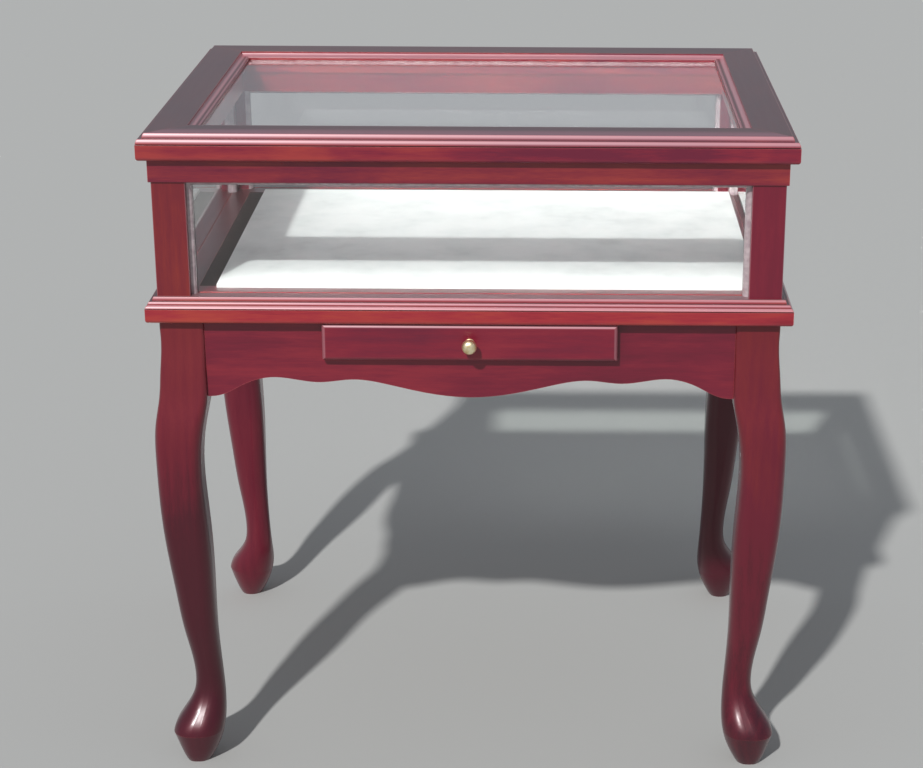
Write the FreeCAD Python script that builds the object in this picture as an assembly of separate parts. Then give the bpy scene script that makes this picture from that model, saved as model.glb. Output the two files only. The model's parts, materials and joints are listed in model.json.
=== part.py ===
import FreeCAD, Part
import math
import os
from FreeCAD import Vector

# A small glazed display table: a moulded base frame on four cabriole legs carries a glass case
# with a hinged, glazed lid, and a shallow drawer slides in the front apron. Sizes are in
# millimetres. X runs to the right, Y to the back, Z up. The table is modelled with the middle
# of its lid above the origin, and moved at the end so that its bounding box is centred.

# ---------------------------------------------------------------- overall sizes
lid_width = 540.0
lid_depth = 396.0
leg_height = 419.6
base_height = 21.4
post_height = 97.5
top_rail_height = 18.9
lid_height = 22.1
running_gap = 0.4          # between pieces that move apart
glue_gap = 0.15            # round a tenon, a dowel or a board in its seat
edge_ease = 0.8            # rounding of sawn edges
over = 1.0                 # how far a cutting shape goes past the wood

# ---------------------------------------------------------------- frames
base_rail_width = 48.0
base_band = 12.4           # plain face under the base frame's beads
base_face_round = 3.0      # rounding of that face's lower edge
base_beads = [                     # a quirk's depth and rise, then a bead's stand out of the quirk,
    (1.0, 0.7, 0.8, 1.7, 2.3, 0.16),   # its width, its height and how far it bulges
    (0.5, 0.5, 0.0, 1.0, 2.1, 0.20),
    (2.4, 0.3, 0.0, 1.0, 3.1, 0.18),
]
lid_rail_width = 46.0
lid_band = 13.4            # plain face under the lid's beads
lid_face_round = 3.0       # rounding of that face's lower edge
lid_beads = [                      # in the same way
    (1.2, 0.8, 0.9, 1.6, 3.8, 0.30),
    (3.1, 0.2, 0.0, 1.6, 3.9, 0.25),
]
lid_hollow_width = 5.6     # hollow between the lid's flat and its inner bead
lid_hollow_drop = 3.8
lid_inner_step = 0.8
lid_inner_bead = 1.1
lid_sight_edge = 0.9       # flat beside the inner bead
lid_glass_depth = 6.5      # how far the pane lies under the lid's top
lid_rebate = 6.0
top_rail_inset = 7.5       # from the lid's outline to the case top frame
post_inset = 9.4
post_size = 28.0
dowel_radius = 4.0
dowel_inset = 11.0         # from a post's outer faces to the dowel's middle
dowel_reach = 10.0

# ---------------------------------------------------------------- glass
glass_thickness = 3.0
glass_edge_gap = 0.5
groove_depth = 3.0         # groove in the base frame that a pane stands in
bead_size = 4.5
bead_setback = 6.0         # from a post's face to the outer bead
lid_bead_size = 5.0

# ---------------------------------------------------------------- base panel and board
panel_thickness = 6.0
panel_seat = 8.0           # rebate in the base frame that takes the panel
board_thickness = 3.0
board_side_gap = 28.0      # floor left bare at the board's left
board_front_gap = 8.0
board_rear_gap = 12.0

# ---------------------------------------------------------------- legs and aprons
leg_inset = 9.8
leg_block = 37.0
apron_height = 68.1
rear_apron_height = 56.6
apron_thickness = 16.0
apron_setback = 2.5        # from the leg's face to the apron's face
scallop_rise = 17.2
tenon_thickness = 7.0
tenon_length = 15.0
tenon_shoulder = 6.0       # apron height left above and below a tenon
block_reach = 60.0         # corner block, along each apron
block_height = 38.0
block_drop = 2.0           # from the base frame to the corner block

# ---------------------------------------------------------------- drawer
drawer_width = 248.0       # over the lip
drawer_lip_height = 32.0
drawer_lip_thickness = 9.0
drawer_lip_round = 3.6
drawer_lip_side = 8.8      # how far the lip covers the apron, each side
drawer_lip_below = 8.0
drawer_lip_top = 0.6       # from the base frame to the lip
drawer_inner_front = 12.0  # front's thickness behind the lip
drawer_side_thickness = 8.0
drawer_lap = 8.0
drawer_length = 292.0
drawer_slack = 0.8         # between the drawer box and its opening
drawer_bottom_thickness = 3.0
drawer_bottom_rise = 1.5
drawer_groove = 4.0
runner_ledge = 12.0        # ledge under a drawer side
runner_thickness = 10.0
runner_guide_height = 19.0
kicker_width = 20.0

# ---------------------------------------------------------------- knob
knob_radius = 6.3
knob_length = 15.0
knob_foot_radius = 4.2
knob_foot_height = 1.0
knob_neck_radius = 2.9
knob_neck_reach = 4.6      # from the drawer front to the knob's neck
knob_rim_reach = 9.6       # and to its widest part
knob_screw_radius = 2.0
knob_screw_head_radius = 3.1
knob_screw_head_height = 2.2
knob_screw_grip = 7.0      # thread inside the knob

# ---------------------------------------------------------------- hinges and screws
hinge_length = 38.0
hinge_offset = 150.0       # from the middle to each hinge
hinge_leaf_width = 22.0
hinge_leaf_thickness = 1.6
hinge_barrel_radius = 2.8
hinge_pin_radius = 1.3
hinge_pin_clearance = 0.05
hinge_pin_out = 1.0        # pin's centre behind the case top frame
hinge_play = 0.3           # round the barrel and between its knuckles
hinge_screw_radius = 1.2
hinge_screw_length = 9.0
hinge_screw_spacing = 24.0
frame_screw_radius = 2.0
frame_screw_length = 38.0
frame_screw_head = 4.0
screw_recess = 12.0        # counterbore of the upright screws
screw_wall = 4.0           # wood round an upright screw's counterbore
thread_gap = 0.05          # round the knob's screw, inside the knob
slot_width = 0.6

# ---------------------------------------------------------------- derived places
base_bottom = leg_height
base_top = base_bottom + base_height
rail_bottom = base_top + post_height
rail_top = rail_bottom + top_rail_height
lid_bottom = rail_top + running_gap
lid_top = lid_bottom + lid_height
half_width = lid_width / 2
half_depth = lid_depth / 2
top_rail_width = post_inset + post_size - top_rail_inset
post_out_x = half_width - post_inset
post_out_y = half_depth - post_inset
leg_out_x = half_width - leg_inset
leg_out_y = half_depth - leg_inset
leg_mid_x = leg_out_x - leg_block / 2
leg_mid_y = leg_out_y - leg_block / 2
leg_in_x = leg_out_x - leg_block
leg_in_y = leg_out_y - leg_block
apron_out_x = leg_out_x - apron_setback
apron_out_y = leg_out_y - apron_setback
apron_in_x = apron_out_x - apron_thickness
apron_in_y = apron_out_y - apron_thickness
apron_foot = leg_height - apron_height
tenon_bottom = base_bottom - rear_apron_height + tenon_shoulder
tenon_top = base_bottom - tenon_shoulder
glass_out = bead_setback + bead_size
glass_in = glass_out + glass_thickness + bead_size
pin_y = half_depth - top_rail_inset + hinge_pin_out
pin_z = rail_top + running_gap / 2
drawer_face = apron_out_y + running_gap + drawer_lip_thickness
knob_reach = drawer_face + knob_length
centring = (knob_reach - half_depth) / 2

# The leg's pattern. A row gives a height, how far the section's middle stands out of the block's
# middle along X and Y, half the section's width, and the share of a side that is left straight
# between its rounded corners. The middle and the half are shares of half the block. The section is
# a rounded square, and nearly a circle from the shin down.
block_pattern = [                  # heights as shares of the apron's height, above its lower edge
    (1.0, 0.0, 1.0, 0.84),
    (0.80, 0.0, 1.0, 0.84),
    (0.60, 0.005, 1.005, 0.83),
    (0.31, 0.05, 1.05, 0.80),
    (0.0, 0.10, 1.10, 0.74),
]
curve_pattern = [                  # heights as shares of what is under the apron
    (0.93, 0.33, 1.10, 0.58),
    (0.838, 0.47, 1.03, 0.48),     # knee
    (0.72, 0.42, 1.035, 0.44),
    (0.60, 0.285, 1.02, 0.38),
    (0.48, 0.145, 0.91, 0.28),     # shin
    (0.36, 0.0, 0.78, 0.14),
    (0.234, -0.23, 0.66, 0.06),    # ankle
    (0.18, -0.205, 0.745, 0.06),
    (0.142, -0.023, 0.953, 0.06),  # instep
    (0.112, 0.178, 1.143, 0.06),
    (0.086, 0.303, 1.203, 0.06),   # rim of the pad
]
pad_pattern = [                    # the pad, from under its rim to the sole
    (0.063, 0.29, 1.08, 0.06),
    (0.030, 0.318, 0.848, 0.06),
    (0.010, 0.348, 0.668, 0.06),
    (0.0, 0.36, 0.56, 0.06),
]
toe_point = 0.80                   # the outer corner's rounding, as a share of the others'

# Half of the scalloped edge, from the middle to the leg: distance as a share of the half
# length, and rise as a share of the scallop's rise.
scallop = [(0.0, 0.0), (0.15, 0.18), (0.30, 0.61), (0.45, 0.90), (0.575, 0.75),
           (0.75, 1.0), (0.86, 0.62), (0.93, 0.15), (1.0, 0.0)]

ROUND = 0.5523                     # handle length that makes a cubic curve a quarter round
FULL = 0.68                        # and one that makes it fuller than a quarter round
pieces = {}


# ---------------------------------------------------------------- helpers
def block(x0, x1, y0, y1, z0, z1):
    """A box between two values along each axis."""
    return Part.makeBox(x1 - x0, y1 - y0, z1 - z0, Vector(x0, y0, z0))


def rod(radius, start, along, length):
    """A cylinder."""
    return Part.makeCylinder(radius, length, start, along)


def turned(shape, degrees):
    """A copy of the shape turned about the Z axis."""
    copy = shape.copy()
    copy.rotate(Vector(0, 0, 0), Vector(0, 0, 1), degrees)
    return copy


def moved(shape, x, y, z):
    """A copy of the shape, moved."""
    copy = shape.copy()
    copy.translate(Vector(x, y, z))
    return copy


def mirrored(shape, x_side, y_side):
    """A copy of a shape made at +X +Y, on the side that the signs say."""
    copy = shape.copy()
    if x_side < 0:
        copy = copy.mirror(Vector(0, 0, 0), Vector(1, 0, 0))
    if y_side < 0:
        copy = copy.mirror(Vector(0, 0, 0), Vector(0, 1, 0))
    return copy


def group(shapes):
    """Several separate solids in one node."""
    return Part.makeCompound([solid for shape in shapes for solid in shape.Solids])


class Pen:
    """Draws a section in the YZ plane: inset from the outer edge along Y, height along Z."""

    def __init__(self, inset, height):
        self.at = Vector(0, inset, height)
        self.start = self.at
        self.edges = []

    def line(self, inset, height):
        end = Vector(0, inset, height)
        self.edges.append(Part.LineSegment(self.at, end).toShape())
        self.at = end

    def quarter(self, inset, height, upright_first):
        """A quarter round to a point, that leaves upright or level."""
        end = Vector(0, inset, height)
        run = inset - self.at.y
        rise = height - self.at.z
        if upright_first:
            first = self.at + Vector(0, 0, ROUND * rise)
            second = end - Vector(0, ROUND * run, 0)
        else:
            first = self.at + Vector(0, ROUND * run, 0)
            second = end - Vector(0, 0, ROUND * rise)
        curve = Part.BezierCurve()
        curve.setPoles([self.at, first, second, end])
        self.edges.append(curve.toShape())
        self.at = end

    def bow(self, inset, height, bulge):
        """An arc that rises inwards to a point, and stands out of its chord by the bulge."""
        end = Vector(0, inset, height)
        chord = end - self.at
        outwards = Vector(0, -chord.z, chord.y).normalize()
        middle = (self.at + end) * 0.5 + outwards * bulge
        self.edges.append(Part.Arc(self.at, middle, end).toShape())
        self.at = end

    def beads(self, steps):
        """Bowed beads, each behind a quirk, which is a step or a narrow groove."""
        for depth, rise, stand, width, height, bulge in steps:
            self.line(self.at.y + depth, self.at.z)
            self.line(self.at.y, self.at.z + rise)
            if stand:
                self.line(self.at.y - stand, self.at.z)
            self.bow(self.at.y + width, self.at.z + height, bulge)

    def face(self):
        self.line(self.start.y, self.start.z)
        return Part.Face(Part.Wire(self.edges))


def mitred(section, run, across, width, turn):
    """One side of a mitred frame: the section run along an outline's edge, cut at 45 degrees."""
    bar = moved(section, -run / 2, -across / 2, 0).extrude(Vector(run, 0, 0))
    bottom = bar.BoundBox.ZMin - over
    corners = [(-run / 2, -across / 2), (run / 2, -across / 2),
               (run / 2 - width, width - across / 2), (width - run / 2, width - across / 2)]
    points = [Vector(x, y, bottom) for x, y in corners]
    wedge = Part.Face(Part.makePolygon(points + points[:1]))
    wedge = wedge.extrude(Vector(0, 0, bar.BoundBox.ZLength + 2 * over))
    return turned(bar.common(wedge).Solids[0], turn)


def frame_sides(section, width, depth, rail_width):
    """The four mitred sides of a rectangular frame, by where they lie."""
    return {
        "front": mitred(section, width, depth, rail_width, 0),
        "rear": mitred(section, width, depth, rail_width, 180),
        "left": mitred(section, depth, width, rail_width, -90),
        "right": mitred(section, depth, width, rail_width, 90),
    }


def countersunk_screw(radius, length, head_radius):
    """A slotted screw that points down from the origin, its flat head at the top."""
    head_height = head_radius - radius
    shank = rod(radius, Vector(0, 0, -length), Vector(0, 0, 1), length)
    head = Part.makeCone(radius, head_radius, head_height, Vector(0, 0, -head_height))
    slot = block(-head_radius, head_radius, -slot_width / 2, slot_width / 2, -slot_width, over)
    return shank.fuse(head).cut(slot)


def aimed(shape, place, along):
    """A copy of a shape that points down, turned to point along a direction, at a place."""
    copy = shape.copy()
    turn = FreeCAD.Rotation(Vector(0, 0, -1), along)
    copy.Placement = FreeCAD.Placement(place, turn)
    return copy


# ---------------------------------------------------------------- legs
def leg_section(height, shift, half, straight):
    """The rounded square of the leg at one height, with its outer corner a little sharper."""
    middle_x = leg_mid_x + shift * leg_block / 2
    middle_y = leg_mid_y + shift * leg_block / 2
    size = half * leg_block / 2
    inner = (1 - straight) * size
    arcs = []
    for side_x, side_y in ((1, 1), (-1, 1), (-1, -1), (1, -1)):
        radius = toe_point * inner if side_x + side_y > 0 else inner
        centre = Vector(middle_x + side_x * (size - radius), middle_y + side_y * (size - radius), height)
        middle = centre + Vector(side_x, side_y, 0) * (radius / math.sqrt(2))
        along_x = centre + Vector(side_x * radius, 0, 0)
        along_y = centre + Vector(0, side_y * radius, 0)
        if side_x * side_y > 0:
            arcs.append((along_x, middle, along_y))
        else:
            arcs.append((along_y, middle, along_x))
    edges = []
    for index, (start, middle, end) in enumerate(arcs):
        edges.append(Part.Arc(start, middle, end).toShape())
        edges.append(Part.LineSegment(end, arcs[(index + 1) % 4][0]).toShape())
    return Part.Wire(edges)


def leg():
    """The rear right leg: a lofted cabriole with its square block, mortised for two aprons."""
    rows = [(apron_foot + row[0] * apron_height,) + row[1:] for row in block_pattern]
    rows += [(row[0] * apron_foot,) + row[1:] for row in curve_pattern]
    sections = [leg_section(*row) for row in rows]
    pad_rows = [(row[0] * apron_foot,) + row[1:] for row in pad_pattern]
    pad_sections = sections[-1:] + [leg_section(*row) for row in pad_rows]
    solid = Part.makeLoft(sections, True, False).fuse(Part.makeLoft(pad_sections, True, False))
    shoulder_x = leg_in_x + glue_gap
    shoulder_y = leg_in_y + glue_gap
    above = leg_height + over
    solid = solid.cut(block(0, shoulder_x, 0, half_depth, apron_foot, above))
    solid = solid.cut(block(0, half_width, 0, shoulder_y, apron_foot, above))
    solid = solid.cut(tenon("x", glue_gap))
    solid = solid.cut(tenon("y", glue_gap))
    solid = solid.cut(corner_screw_hole())
    return solid.removeSplitter().Solids[0]


def tenon(axis, clearance):
    """A tenon at the rear right corner, from the apron's shoulder into the leg."""
    inset = (apron_thickness - tenon_thickness) / 2
    low = tenon_bottom - clearance
    high = tenon_top + clearance
    if axis == "x":
        return block(leg_in_x, leg_in_x + tenon_length + clearance,
                     apron_in_y + inset - clearance, apron_out_y - inset + clearance, low, high)
    return block(apron_in_x + inset - clearance, apron_out_x - inset + clearance,
                 leg_in_y, leg_in_y + tenon_length + clearance, low, high)


# ---------------------------------------------------------------- aprons
def scalloped(half_length):
    """The face of a scalloped apron in the XZ plane, at Y = 0."""
    half = [Vector(half_length * share, 0, apron_foot + scallop_rise * rise) for share, rise in scallop]
    other = [Vector(-point.x, 0, point.z) for point in reversed(half[1:])]
    edge = Part.BSplineCurve()
    edge.interpolate(other + half)
    left = Vector(-half_length, 0, base_bottom)
    right = Vector(half_length, 0, base_bottom)
    edges = [edge.toShape(), Part.LineSegment(half[-1], right).toShape(),
             Part.LineSegment(right, left).toShape(), Part.LineSegment(left, other[0]).toShape()]
    return Part.Face(Part.Wire(edges))


def front_apron():
    """The front apron, with its tenons and the drawer's notch, open at the top."""
    board = scalloped(leg_in_x).extrude(Vector(0, apron_thickness, 0))
    board = moved(board, 0, -apron_out_y, 0)
    for side in (1, -1):
        board = board.fuse(mirrored(tenon("x", 0), side, -1))
    notch = block(-opening_half, opening_half, -half_depth, 0, opening_bottom, base_bottom + over)
    return board.cut(notch).removeSplitter()


def side_apron(side):
    """A scalloped apron between a front and a rear leg."""
    board = scalloped(leg_in_y).extrude(Vector(0, apron_thickness, 0))
    board = moved(turned(board, 90), apron_out_x, 0, 0)
    for end in (1, -1):
        board = board.fuse(mirrored(tenon("y", 0), 1, end))
    return mirrored(board.removeSplitter(), side, 1)


def rear_apron():
    """The plain apron at the back."""
    board = block(-leg_in_x, leg_in_x, apron_in_y, apron_out_y, base_bottom - rear_apron_height, base_bottom)
    for side in (1, -1):
        board = board.fuse(mirrored(tenon("x", 0), side, 1))
    return board.removeSplitter()


# ---------------------------------------------------------------- corner blocks and their screws
def corner_screw_place():
    """Where a diagonal screw starts: the middle of the corner block's long face."""
    middle = base_bottom - block_drop - block_height / 2
    return Vector(apron_in_x - block_reach / 2, apron_in_y - block_reach / 2, middle)


def corner_screw_hole():
    """The diagonal screw's hole in the leg and the corner block."""
    along = Vector(1, 1, 0).normalize()
    return rod(frame_screw_radius + glue_gap, corner_screw_place(), along, frame_screw_length + glue_gap)


def upright_screw_places():
    """The upright screws of the rear right corner block, at its underside."""
    low = base_bottom - block_drop - block_height
    near = frame_screw_head + screw_wall
    away = block_reach - near - math.sqrt(2) * near
    return [Vector(apron_in_x - away, apron_in_y - near, low),
            Vector(apron_in_x - near, apron_in_y - away, low)]


def corner_block():
    """The rear right corner block: a triangle notched round the leg's inner corner."""
    low = base_bottom - block_drop - block_height
    points = [Vector(apron_in_x, apron_in_y, low), Vector(apron_in_x - block_reach, apron_in_y, low),
              Vector(apron_in_x, apron_in_y - block_reach, low)]
    solid = Part.Face(Part.makePolygon(points + points[:1])).extrude(Vector(0, 0, block_height + block_drop))
    solid = solid.cut(block(leg_in_x, leg_out_x, leg_in_y, leg_out_y, low - over, base_bottom + over))
    solid = solid.cut(corner_screw_hole())
    solid = solid.cut(screw_sink(corner_screw_place(), Vector(1, 1, 0)))
    for place in upright_screw_places():
        seat = place + Vector(0, 0, screw_recess)
        solid = solid.cut(rod(frame_screw_head + glue_gap, place, Vector(0, 0, 1), screw_recess))
        solid = solid.cut(rod(frame_screw_radius + glue_gap, seat, Vector(0, 0, 1), block_height))
        solid = solid.cut(screw_sink(seat, Vector(0, 0, 1)))
    return solid


def screw_sink(place, along):
    """The countersink of a frame screw."""
    head = frame_screw_head - frame_screw_radius
    return Part.makeCone(frame_screw_head + glue_gap, frame_screw_radius + glue_gap, head, place, along)


def corner_blocks():
    return group([mirrored(corner_block(), x, y) for x in (1, -1) for y in (1, -1)])


def corner_screws():
    screw = countersunk_screw(frame_screw_radius, frame_screw_length, frame_screw_head)
    screw = aimed(screw, corner_screw_place(), Vector(1, 1, 0))
    return group([mirrored(screw, x, y) for x in (1, -1) for y in (1, -1)])


def base_frame_screws():
    screw = countersunk_screw(frame_screw_radius, frame_screw_length, frame_screw_head)
    placed = [aimed(screw, place + Vector(0, 0, screw_recess), Vector(0, 0, 1))
              for place in upright_screw_places()]
    return group([mirrored(each, x, y) for each in placed for x in (1, -1) for y in (1, -1)])


def upright_screw_holes():
    """The upright screws' holes in the base frame, at all four corners."""
    holes = [rod(frame_screw_radius + glue_gap, place + Vector(0, 0, screw_recess), Vector(0, 0, 1),
                 frame_screw_length + glue_gap) for place in upright_screw_places()]
    return group([mirrored(each, x, y) for each in holes for x in (1, -1) for y in (1, -1)])


# ---------------------------------------------------------------- base frame, posts, top frame
def base_section():
    """The base frame's section, with the rebate that takes the panel."""
    pen = Pen(base_face_round, base_bottom)
    pen.quarter(0, base_bottom + base_face_round, False)
    pen.line(0, base_bottom + base_band)
    pen.beads(base_beads)
    pen.line(base_rail_width - panel_seat, pen.at.z)
    pen.line(pen.at.y, base_top - panel_thickness)
    pen.line(base_rail_width, pen.at.z)
    pen.line(base_rail_width, base_bottom)
    return pen.face()


def top_section():
    """The case top frame's plain section, eased outside."""
    pen = Pen(edge_ease, rail_bottom)
    pen.quarter(0, rail_bottom + edge_ease, False)
    pen.line(0, rail_top - edge_ease)
    pen.quarter(edge_ease, rail_top, True)
    pen.line(top_rail_width, rail_top)
    pen.line(top_rail_width, rail_bottom)
    return pen.face()


def lid_section():
    """The lid frame's section: beads outside, a hollow and a small bead inside, and a rebate."""
    glass_top = lid_top - lid_glass_depth
    flat_end = lid_rail_width - lid_sight_edge - 2 * lid_inner_bead - lid_hollow_width
    pen = Pen(lid_face_round, lid_bottom)
    pen.quarter(0, lid_bottom + lid_face_round, False)
    pen.line(0, lid_bottom + lid_band)
    pen.beads(lid_beads)
    pen.line(flat_end, pen.at.z)
    pen.line(flat_end, pen.at.z - lid_inner_step)
    pen.quarter(flat_end + lid_hollow_width, pen.at.z - lid_hollow_drop, True)
    pen.quarter(pen.at.y + lid_inner_bead, pen.at.z + lid_inner_bead, True)
    pen.quarter(pen.at.y + lid_inner_bead, pen.at.z - lid_inner_bead, False)
    pen.line(lid_rail_width, pen.at.z)
    pen.line(lid_rail_width, glass_top)
    pen.line(lid_rail_width - lid_rebate, glass_top)
    pen.line(pen.at.y, lid_bottom)
    return pen.face()


def dowels(gap):
    """The rear right post's dowels, or their holes with a gap."""
    return [rod(dowel_radius + gap, Vector(post_out_x - dowel_inset, post_out_y - dowel_inset,
                                           joint - dowel_reach - gap),
                Vector(0, 0, 1), 2 * (dowel_reach + gap)) for joint in (base_top, rail_bottom)]


def all_dowels(gap):
    return group([mirrored(each, x, y) for each in dowels(gap) for x in (1, -1) for y in (1, -1)])


def post():
    """The rear right corner post: a square with eased edges, its inner corner cut away for the board."""
    solid = block(post_out_x - post_size, post_out_x, post_out_y - post_size, post_out_y,
                  base_top, rail_bottom)
    upright = [edge for edge in solid.Edges if edge.BoundBox.ZLength > post_height / 2]
    solid = solid.makeFillet(edge_ease, upright)
    solid = solid.cut(block(0, post_out_x - glass_in, 0, post_out_y - glass_in, base_top - over,
                            rail_bottom + over))
    for dowel in dowels(glue_gap):
        solid = solid.cut(dowel)
    return solid


# ---------------------------------------------------------------- glass and glazing beads
def bead_section(size):
    """A quarter-round bead: its square corner lies between the frame and the pane."""
    pen = Pen(0, 0)
    pen.line(size, 0)
    pen.quarter(0, size, True)
    return pen.face()


def stood_up(shape):
    """A copy of a flat frame, stood up to face the front."""
    copy = shape.copy()
    copy.rotate(Vector(0, 0, 0), Vector(1, 0, 0), 90)
    return copy


def pane(width, across, turn):
    """An upright pane between two posts, that stands in the base frame's groove."""
    half = width / 2 - glass_edge_gap
    face = glass_out - across / 2
    sheet = block(-half, half, face, face + glass_thickness,
                  base_top - groove_depth + glass_edge_gap, rail_bottom - glass_edge_gap)
    return turned(sheet, turn)


def pane_groove(width, across, turn):
    """The groove in the base frame that a pane stands in."""
    face = glass_out - across / 2
    groove = block(-width / 2, width / 2, face - glue_gap, face + glass_thickness + glue_gap,
                   base_top - groove_depth, base_top + over)
    return turned(groove, turn)


def pane_beads(width, across, turn):
    """The six beads of an upright pane: one at each post and one at the top, outside and inside."""
    tall = post_height + 2 * bead_size
    ring = frame_sides(bead_section(bead_size), width, tall, bead_size)
    upright = stood_up(group([ring["left"], ring["right"], ring["rear"]]))
    face = glass_out - across / 2
    outside = moved(upright, 0, face, rail_bottom - tall / 2)
    outside = outside.common(block(-width, width, face - bead_size, face, base_top, rail_bottom))
    inside = outside.mirror(Vector(0, face + glass_thickness / 2, 0), Vector(0, 1, 0))
    return turned(group([outside, inside]), turn)


# ---------------------------------------------------------------- drawer
opening_half = drawer_width / 2 - drawer_lip_side
lip_top = base_bottom - drawer_lip_top
lip_bottom = lip_top - drawer_lip_height
opening_bottom = lip_bottom + drawer_lip_below - drawer_slack
drawer_half = opening_half - drawer_slack
box_bottom = opening_bottom + drawer_slack
box_inside = drawer_half - drawer_side_thickness
lip_back = -apron_out_y - running_gap
front_back = lip_back + drawer_inner_front
sides_front = front_back - drawer_lap
box_back = sides_front + drawer_length
bottom_low = box_bottom + drawer_bottom_rise
bottom_high = bottom_low + drawer_bottom_thickness
knob_height = (lip_top + lip_bottom) / 2


def drawer_front():
    """The drawer front: a lip with rounded edges, and the block that the sides are lapped into."""
    lip = block(-drawer_width / 2, drawer_width / 2, -drawer_face, lip_back, lip_bottom, lip_top)
    outer = [edge for edge in lip.Edges if edge.BoundBox.YMax < -drawer_face + drawer_lip_thickness / 2]
    lip = lip.makeFillet(drawer_lip_round, outer)
    inner = block(-drawer_half, drawer_half, lip_back, front_back, box_bottom, lip_top)
    for side in (1, -1):
        lap = block(box_inside, drawer_half, sides_front, front_back, box_bottom - over, lip_top + over)
        inner = inner.cut(mirrored(lap, side, 1))
    front = lip.fuse(inner)
    front = front.cut(drawer_bottom(glue_gap))
    hole = rod(knob_screw_radius + glue_gap, Vector(0, 0, knob_height), Vector(0, -1, 0), lid_depth)
    return front.cut(hole).removeSplitter()


def drawer_side(side):
    """A drawer side, grooved for the bottom."""
    board = block(box_inside, drawer_half, sides_front, box_back, box_bottom, lip_top)
    return mirrored(board.cut(drawer_bottom(glue_gap)), side, 1)


def drawer_back():
    """The drawer back, that stands on the bottom."""
    return block(-box_inside, box_inside, box_back - drawer_side_thickness, box_back, bottom_high, lip_top)


def drawer_bottom(gap):
    """The drawer bottom, or the groove that takes it."""
    half = box_inside + drawer_groove - glue_gap + gap
    front = front_back - drawer_groove + glue_gap - gap
    return block(-half, half, front, box_back + gap, bottom_low - gap, bottom_high + gap)


def runner(side):
    """An L-shaped runner between the front and rear aprons: a ledge under the drawer, a guide beside it."""
    guide_in = drawer_half + drawer_slack
    guide_out = guide_in + runner_thickness
    ledge_top = box_bottom - running_gap
    ledge_in = drawer_half - runner_ledge
    ledge = block(ledge_in, guide_out, -apron_in_y, apron_in_y, ledge_top - runner_thickness, ledge_top)
    guide = block(guide_in, guide_out, -apron_in_y, apron_in_y, ledge_top, ledge_top + runner_guide_height)
    return mirrored(ledge.fuse(guide).removeSplitter(), side, 1)


def kickers():
    """Strips under the base panel that keep the open drawer level."""
    end = half_depth - base_rail_width
    inner = drawer_half - kicker_width
    strip = block(inner, drawer_half, -end, end, base_bottom, base_top - panel_thickness)
    return group([strip, mirrored(strip, -1, 1)])


# ---------------------------------------------------------------- knob
def knob_point(radius, reach):
    """A point of the knob's outline: radius from its axis, and reach from the drawer front."""
    return Vector(radius, -drawer_face - reach, knob_height)


def knob_curve(start, start_pull, end_pull, end):
    """A curve of the knob's outline, with the pulls of its two ends as radius and reach."""
    curve = Part.BezierCurve()
    curve.setPoles([knob_point(*start), knob_point(start[0] + start_pull[0], start[1] + start_pull[1]),
                    knob_point(end[0] + end_pull[0], end[1] + end_pull[1]), knob_point(*end)])
    return curve.toShape()


def knob():
    """A turned knob on the drawer front, drilled for its screw."""
    foot = (knob_foot_radius, knob_foot_height)
    neck = (knob_neck_radius, knob_neck_reach)
    rim = (knob_radius, knob_rim_reach)
    tip = (0, knob_length)
    corners = [knob_point(*tip), knob_point(0, 0), knob_point(foot[0], 0), knob_point(*foot)]
    narrowing = ROUND * (foot[0] - neck[0])
    to_neck = ROUND * (neck[1] - foot[1])
    to_rim = ROUND * (rim[1] - neck[1])
    to_tip = FULL * (tip[1] - rim[1])
    outline = [Part.makePolygon(corners)]
    outline.append(knob_curve(foot, (-narrowing, 0), (0, -to_neck), neck))
    outline.append(knob_curve(neck, (0, to_rim), (0, -to_rim), rim))
    outline.append(knob_curve(rim, (0, to_tip), (FULL * rim[0], 0), tip))
    face = Part.Face(Part.Wire([edge for line in outline for edge in line.Edges]))
    solid = face.revolve(Vector(0, -drawer_face, knob_height), Vector(0, 1, 0), 360)
    start = Vector(0, over - drawer_face, knob_height)
    return solid.cut(rod(knob_screw_radius + thread_gap, start, Vector(0, -1, 0),
                         over + knob_screw_grip + glue_gap))


def knob_screw():
    """The screw that holds the knob, from inside the drawer."""
    start = Vector(0, front_back, knob_height)
    length = front_back + drawer_face + knob_screw_grip
    shank = rod(knob_screw_radius, start, Vector(0, -1, 0), length)
    head = rod(knob_screw_head_radius, start, Vector(0, 1, 0), knob_screw_head_height)
    top = front_back + knob_screw_head_height
    slot = block(-knob_screw_head_radius, knob_screw_head_radius, top - slot_width, top + over,
                 knob_height - slot_width / 2, knob_height + slot_width / 2)
    return shank.fuse(head).cut(slot)


# ---------------------------------------------------------------- hinges
def knuckle_spans(lid_side):
    """The stretches of the barrel that belong to the lid's leaf, or to the case's."""
    third = hinge_length / 3
    start = -hinge_length / 2
    if lid_side:
        return [(start + third + hinge_play / 2, start + 2 * third - hinge_play / 2)]
    return [(start, start + third - hinge_play / 2), (start + 2 * third + hinge_play / 2, -start)]


def barrel(radius, x0, x1):
    return rod(radius, Vector(x0, pin_y, pin_z), Vector(1, 0, 0), x1 - x0)


def leaf_plate():
    """The case leaf's plate, before its knuckles."""
    return block(-hinge_length / 2, hinge_length / 2, pin_y - hinge_leaf_width, pin_y,
                 rail_top - hinge_leaf_thickness, rail_top)


def leaf_screw_places():
    """Where the two screws of a case leaf start, at the middle hinge position."""
    middle = pin_y - (hinge_leaf_width + hinge_barrel_radius) / 2
    return [Vector(side * hinge_screw_spacing / 2, middle, rail_top) for side in (1, -1)]


def mirror_to_lid(shape):
    """A copy of a case hinge piece, upside down for the lid."""
    return shape.mirror(Vector(0, 0, pin_z), Vector(0, 0, 1))


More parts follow.
